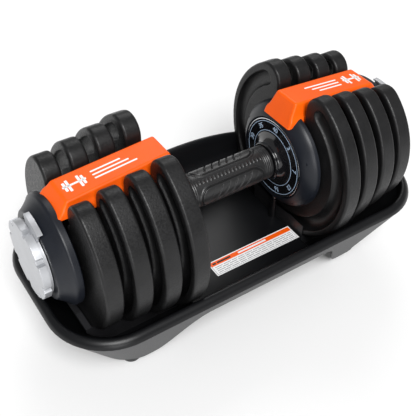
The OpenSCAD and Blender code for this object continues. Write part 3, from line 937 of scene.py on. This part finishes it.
def tray_loop(inset, z, crest, foot=None, blend=0.0):
    """One level of the tub: the rim's outline moved in, or part of the way to the foot's."""
    half_x, half_y, corner = TRAY_HIGH.x - inset, TRAY_HIGH.y - inset, RIM_CORNER - inset
    if foot:
        half_x, half_y, corner = (a + (b - a) * blend
                                  for a, b in zip((half_x, half_y, corner), foot))
    outline = rounded_rectangle(half_x, half_y, corner)
    return [(x, y, z + crest * crest_rise(x, y, half_y)) for x, y in outline]


def tub_loops():
    """Levels up the outside, over the rim and down the inside to the floor."""
    loops = [tray_loop(0, TUB_BOTTOM, 0, TUB_FOOT_OUTSIDE, 1)]
    loops += [tray_loop(*level) for level in TUB_RIM]
    for share in WALL_SHARES:
        z = WALL_TOP + (WALL_LOW - WALL_TOP) * share
        loops.append(tray_loop(WALL_INSET, z, 0, TUB_FOOT_INSIDE, share))
    return loops + [tray_loop(WALL_INSET, z, 0, outline, 1) for z, outline in TUB_FLOOR]


def build_tray_shell():
    """Tub with a rolled rim, an arched back and a raised floor in the middle."""
    bm = bmesh.new()
    for edges in loft(bm, tub_loops()):
        cap(bm, edges)
    step = box(bm, (-STEP_HALF_X, -STEP_HALF_Y, STEP_LOW), (STEP_HALF_X, STEP_HALF_Y, STEP_TOP))
    middle_z = (STEP_LOW + STEP_TOP) / 2
    tops = {e for v in step for e in v.link_edges if all(u.co.z > middle_z for u in e.verts)}
    round_edges(bm, tops, STEP_ROUND, 4)
    new_piece("tray_tub", bm, [tray_plastic()], "tray", ["tray_shell"], sharp=40)


FOOT_PLACE = (0.138, 0.048)
ARCH_LONG = {"foot": 0.118, "top": 0.062, "height": 0.063}
ARCH_END = {"foot": 0.034, "top": 0.016, "height": 0.017}
ARCH_END_BEYOND = 0.150
SKIRT_TOP = (0.2094, 0.0954, 0.0614)
SKIRT_FOOT = (0.167, 0.061, 0.041)
SKIRT_LOW = 0.006
SKIRT_WALL = 0.0024
SKIRT_SHARES = (0.02, 0.25, 0.5, 0.75, 0.96)
# (share of the way down, inset, lift) of the seam's edge, and the same round the lower lip
SKIRT_SEAM = ((0, 0.0016), (0, 0.0004, -0.0003))
SKIRT_LIP = ((0.99, 0.0002), (1, 0.0008), (1, 0.0016), (0.99, 0.0022))
# Profiles are (radius, height)
SCREW_BOSS = ((0.0022, 0.006), (0.012, 0.006), (0.012, 0.010), (0.006, 0.010), (0.006, 0.0299),
              (0.0022, 0.0299))
SOFT_FOOT = ((0.0001, 0), (0.0080, 0), (0.0088, 0.0003), (0.0093, 0.0010), (0.0099, 0.0030),
             (0.0100, 0.0060), (0.0001, 0.0060))


def arch_height(x, y):
    """Height of the skirt's lower edge above the floor at a point of its foot outline."""
    across_end = abs(x) > ARCH_END_BEYOND and abs(y) < ARCH_END["foot"]
    shape, along = (ARCH_END, abs(y)) if across_end else (ARCH_LONG, abs(x))
    share = smooth_step(0, shape["foot"] - shape["top"], shape["foot"] - along)
    return SKIRT_LOW + (shape["height"] - SKIRT_LOW) * share


def skirt_loop(share, inset, lift=0.0):
    """A level of the skirt, as a share of the way from the seam to its arched lower edge."""
    above = rounded_rectangle(*(size - inset for size in SKIRT_TOP))
    below = rounded_rectangle(*(size - inset for size in SKIRT_FOOT))
    outline = rounded_rectangle(*SKIRT_FOOT)
    points = []
    for (x0, y0), (x1, y1), (x, y) in zip(above, below, outline):
        reach = share * (SEAM_Z - arch_height(x, y)) / (SEAM_Z - SKIRT_LOW)
        z = SEAM_Z + (SKIRT_LOW - SEAM_Z) * reach + lift
        points.append((x0 + (x1 - x0) * reach, y0 + (y1 - y0) * reach, z))
    return points


def turn_at_feet(bm, profile, steps):
    """The same turned part at each of the four feet."""
    for sx in (-1, 1):
        for sy in (-1, 1):
            start = len(bm.verts)
            lathe(bm, profile, steps)
            bm.verts.ensure_lookup_table()
            place = (sx * FOOT_PLACE[0], sy * FOOT_PLACE[1], 0)
            bmesh.ops.translate(bm, verts=bm.verts[start:], vec=place)


def build_tray_base():
    """Sloping skirt under the rim, with arches that leave a leg at each corner."""
    loops = [skirt_loop(*level) for level in SKIRT_SEAM]
    loops += [skirt_loop(share, 0) for share in SKIRT_SHARES]
    loops += [skirt_loop(*level) for level in SKIRT_LIP]
    loops += [skirt_loop(share, SKIRT_WALL) for share in reversed(SKIRT_SHARES)]
    bm = bmesh.new()
    top, inside = loft(bm, loops)
    bmesh.ops.bridge_loops(bm, edges=top + inside)
    turn_at_feet(bm, SCREW_BOSS, 40)
    new_piece("tray_skirt", bm, [base_plastic()], "tray", ["tray_base"], sharp=40)


def build_feet():
    """Four round rubber feet with soft edges."""
    bm = bmesh.new()
    turn_at_feet(bm, SOFT_FOOT, 48)
    new_piece("soft_feet", bm, [foot_rubber()], "tray", ["rubber_feet"], sharp=40)


# ---- label ----

LABEL_SPAN = (-0.0325, 0.0730)
LABEL_LIFT = 0.0001
LABEL_FILM = 0.00008
LABEL_EDGE, LABEL_BORDER = 0.0013, 0.0004
BAND_WIDTH = 0.0056
LINE_ROWS, LINE_PARTS = 4, 12
LINE_MARGIN, LINE_WIDTH, LINE_GAP = 0.004, 0.0008, 0.0013
LINE_FIRST, LINE_TOP_GAP = 0.0018, 0.002
PART_SHORT, PART_SPREAD, PART_LEAST = 0.0052, 0.0042, 0.001
BAR_HALF = 0.0011
WHITE, ORANGE, GREY, DARK = range(4)
# (start, end, print) of the bars on the band
BAND_BARS = ((0.004, 0.008, DARK), (0.0095, 0.026, DARK), (0.036, 0.072, WHITE))


def add_patch(bm, low, high, base, level, finish):
    """One printed rectangle, a few films above the label's base."""
    start = len(bm.faces)
    bottom = base + LABEL_LIFT + LABEL_FILM * (level - 1)
    box(bm, (*low, bottom), (*high, base + LABEL_LIFT + LABEL_FILM * level))
    bm.faces.ensure_lookup_table()
    for face in bm.faces[start:]:
        face.material_index = finish


def line_parts(left, right, row):
    """Starts and ends of the pieces that one broken line is made of."""
    parts = []
    x = left
    for part in range(LINE_PARTS):
        length = PART_SHORT + PART_SPREAD * abs(math.sin(2.3 * part + 1.7 * row))
        end = min(x + length, right)
        if end - x > PART_LEAST:
            parts.append((x, end))
        x = end + LINE_GAP
    return parts


def label_patches(x0, y0, x1, y1):
    """(low corner, high corner, level, print) of each patch on the label."""
    edge, inner = LABEL_EDGE, LABEL_EDGE + LABEL_BORDER
    band_low = y1 - edge - BAND_WIDTH
    patches = [((x0, y0), (x1, y1), 1, WHITE),
               ((x0 + edge, y0 + edge), (x1 - edge, y1 - edge), 2, GREY),
               ((x0 + inner, y0 + inner), (x1 - inner, y1 - inner), 2.6, WHITE),
               ((x0 + edge, band_low), (x1 - edge, y1 - edge), 3.2, ORANGE)]
    height = band_low - y0 - edge - LINE_TOP_GAP
    for row in range(LINE_ROWS):
        y = y0 + edge + LINE_FIRST + height * row / LINE_ROWS
        for start, end in line_parts(x0 + LINE_MARGIN, x1 - LINE_MARGIN, row):
            patches.append(((start, y), (end, y + LINE_WIDTH), 3.2, GREY))
    centre = band_low + BAND_WIDTH / 2
    for start, end, finish in BAND_BARS:
        patches.append(((x0 + start, centre - BAR_HALF), (x0 + end, centre + BAR_HALF), 4, finish))
    return patches


def build_label():
    """White film with an orange band and plain broken lines inside a thin border."""
    low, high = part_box("care_label")
    bm = bmesh.new()
    for near, far, level, finish in label_patches(LABEL_SPAN[0], low.y, LABEL_SPAN[1], high.y):
        add_patch(bm, near, far, low.z, level, finish)
    new_piece("plain_label", bm, [white_print(), orange_plastic(), grey_print(), dark_print()],
              "tray", ["care_label"], sharp=30)


# ---- finishes of the pieces that stay as they are ----


def carried_finishes():
    finishes = {
        "tray_screws": plated_steel, "bridge_screws": plated_steel,
        "housing_screws": plated_steel, "handle_pins": plated_steel,
        # The unlock posts take the near-black tray plastic as painted shade, for the shade under the
        # inner housings.
        "retaining_clips": plated_steel, "unlock_posts": tray_plastic,
        "main_shaft": turned_steel, "handle_core": gloss_black,
    }
    for side in SIDES:
        for part, made in (("cradle", cradle_plastic), ("inner_back", housing_plastic),
                           ("outer_back", housing_plastic), ("bridge_bar", plated_steel),
                           ("inner_bushing", bearing_polymer), ("outer_bushing", bearing_polymer),
                           ("index_ring", plated_steel), ("lock_yoke", plated_steel),
                           ("lock_spring", turned_steel)):
            finishes[f"{part}_{side}"] = made
        for index in PLATES:
            # The selector discs take steel darkened as painted shade, for the shaded gaps between
            # the plates.
            finishes[f"selector_disc_{side}_{index}"] = blackened_steel
    return finishes


# ---- stage ----


def add_soft_lamp(name, place, strength, spread):
    """A wide, even light that shines from one direction onto the object and the floor alike."""
    data = bpy.data.lights.new(name, "SUN")
    data.energy = strength
    data.angle = math.radians(spread)
    lamp = bpy.data.objects.new(name, data)
    lamp.location = place
    lamp.rotation_euler = (-Vector(place)).to_track_quat("-Z", "Y").to_euler()
    bpy.context.scene.collection.objects.link(lamp)


FLOOR_HALF = 40
CAMERA_CLIP = 0.02
# (name, direction it shines from, the stage's power for it, spread in degrees)
LAMPS = (
    ("front", (-0.25, -0.75, 1.0), "key_power", 30),
    ("low front", (-0.35, -1.0, 0.18), "low_power", 25),
    ("back", (0.5, 0.8, 0.9), "fill_power", 30),
)


def build_floor():
    bm = bmesh.new()
    bmesh.ops.create_grid(bm, x_segments=1, y_segments=1, size=FLOOR_HALF)
    mesh = bpy.data.meshes.new("floor")
    bm.to_mesh(mesh)
    bm.free()
    mesh.materials.append(
        moulded("pale floor", (0.86, 0.86, 0.86), roughness=(0.8, 0.9), mottle=0.0, grain_height=0))
    floor = bpy.data.objects.new("floor", mesh)
    bpy.context.scene.collection.objects.link(floor)


def build_camera():
    stage = bpy.context.scene.dumbbell_stage
    a, e, r = stage.azimuth, stage.elevation, stage.roll
    back = Vector((math.sin(a) * math.cos(e), -math.cos(a) * math.cos(e), math.sin(e)))
    right = Vector((math.cos(a), math.sin(a), 0))
    up = back.cross(right)
    turned_right = right * math.cos(r) + up * math.sin(r)
    turned_up = up * math.cos(r) - right * math.sin(r)
    data = bpy.data.cameras.new("camera")
    data.lens = stage.lens
    data.clip_start = CAMERA_CLIP
    camera = bpy.data.objects.new("camera", data)
    basis = Matrix((turned_right, turned_up, back)).transposed().to_4x4()
    camera.matrix_world = Matrix.Translation(Vector(stage.target) + back * stage.distance) @ basis
    bpy.context.scene.collection.objects.link(camera)
    bpy.context.scene.camera = camera


def build_world():
    world = bpy.data.worlds.new("studio")
    world.use_nodes = True
    sky = world.node_tree.nodes["Background"]
    sky.inputs["Color"].default_value = (1, 1, 1, 1)
    sky.inputs["Strength"].default_value = bpy.context.scene.dumbbell_stage.sky_power
    bpy.context.scene.world = world
    bpy.context.scene.view_settings.view_transform = "Standard"


def build_stage():
    stage = bpy.context.scene.dumbbell_stage
    build_floor()
    build_camera()
    build_world()
    for name, place, power, spread in LAMPS:
        add_soft_lamp(name, place, getattr(stage, power), spread)


# ---- operators ----


class DUMBBELL_OT_plates(Operator):
    """Build the eight weight plates"""

    bl_idname = "dumbbell.plates"
    bl_label = "Weight plates"
    bl_options = {"REGISTER", "UNDO"}

    def execute(self, context):
        for side in SIDES:
            for index in PLATES:
                build_plate(side, index)
        return {"FINISHED"}


class DUMBBELL_OT_bridges(Operator):
    """Build the orange bridge covers and their plain print"""

    bl_idname = "dumbbell.bridges"
    bl_label = "Bridge covers"
    bl_options = {"REGISTER", "UNDO"}

    def execute(self, context):
        for side in SIDES:
            build_bridge_cover(side)
            build_cover_print(side)
        return {"FINISHED"}


class DUMBBELL_OT_housings(Operator):
    """Build the inner and outer housings"""

    bl_idname = "dumbbell.housings"
    bl_label = "Housings"
    bl_options = {"REGISTER", "UNDO"}

    def execute(self, context):
        for side in SIDES:
            build_housing(side, "inner", INNER_SHELL)
            build_housing(side, "outer", OUTER_SHELL)
        return {"FINISHED"}


class DUMBBELL_OT_dials(Operator):
    """Build the numbered dials and the gloss collars"""

    bl_idname = "dumbbell.dials"
    bl_label = "Dials and collars"
    bl_options = {"REGISTER", "UNDO"}

    def execute(self, context):
        for side in SIDES:
            build_dial(side)
            build_dial_figures(side)
            build_collar(side)
        return {"FINISHED"}


class DUMBBELL_OT_grip(Operator):
    """Build the patterned rubber grip"""

    bl_idname = "dumbbell.grip"
    bl_label = "Grip"
    bl_options = {"REGISTER", "UNDO"}

    def execute(self, context):
        build_grip()
        return {"FINISHED"}


class DUMBBELL_OT_knobs(Operator):
    """Build the silver end knobs"""

    bl_idname = "dumbbell.knobs"
    bl_label = "End knobs"
    bl_options = {"REGISTER", "UNDO"}

    def execute(self, context):
        for side in SIDES:
            build_star(side)
        return {"FINISHED"}


class DUMBBELL_OT_tray(Operator):
    """Build the tray's tub, skirt and feet"""

    bl_idname = "dumbbell.tray"
    bl_label = "Tray"
    bl_options = {"REGISTER", "UNDO"}

    def execute(self, context):
        build_tray_shell()
        build_tray_base()
        build_feet()
        return {"FINISHED"}


class DUMBBELL_OT_label(Operator):
    """Build the plain label on the tray's floor"""

    bl_idname = "dumbbell.label"
    bl_label = "Label"
    bl_options = {"REGISTER", "UNDO"}

    def execute(self, context):
        build_label()
        return {"FINISHED"}


class DUMBBELL_OT_finishes(Operator):
    """Give the shafts, discs, screws and other carried-over parts their finishes, with the discs and
    unlock posts darkened as painted shade
    """

    bl_idname = "dumbbell.finishes"
    bl_label = "Finishes"
    bl_options = {"REGISTER", "UNDO"}

    def execute(self, context):
        for node, made in carried_finishes().items():
            repaint(node, made())
        return {"FINISHED"}


class DUMBBELL_OT_stage(Operator):
    """Build the floor, the lights and the camera"""

    bl_idname = "dumbbell.stage"
    bl_label = "Stage"
    bl_options = {"REGISTER", "UNDO"}

    def execute(self, context):
        build_stage()
        return {"FINISHED"}


OPERATORS = (
    DUMBBELL_OT_plates, DUMBBELL_OT_bridges, DUMBBELL_OT_housings, DUMBBELL_OT_dials,
    DUMBBELL_OT_grip, DUMBBELL_OT_knobs, DUMBBELL_OT_tray, DUMBBELL_OT_label,
    DUMBBELL_OT_finishes, DUMBBELL_OT_stage,
)


class DUMBBELL_PT_build(Panel):
    bl_label = "Adjustable dumbbell"
    bl_space_type = "VIEW_3D"
    bl_region_type = "UI"
    bl_category = "Dumbbell"

    def draw(self, context):
        for operator in OPERATORS:
            self.layout.operator(operator.bl_idname)


GROUPS = {
    "dumbbell_colours": DumbbellColours,
    "dumbbell_sizes": DumbbellSizes,
    "dumbbell_stage": DumbbellStage,
}


def register():
    for name, group in GROUPS.items():
        bpy.utils.register_class(group)
        setattr(bpy.types.Scene, name, PointerProperty(type=group))
    for cls in (*OPERATORS, DUMBBELL_PT_build):
        bpy.utils.register_class(cls)


def unregister():
    for cls in reversed((*OPERATORS, DUMBBELL_PT_build)):
        bpy.utils.unregister_class(cls)
    for name, group in GROUPS.items():
        delattr(bpy.types.Scene, name)
        bpy.utils.unregister_class(group)


def main():
    register()
    for operator in OPERATORS:
        group, name = operator.bl_idname.split(".")
        getattr(getattr(bpy.ops, group), name)()


if __name__ == "__main__":
    main()
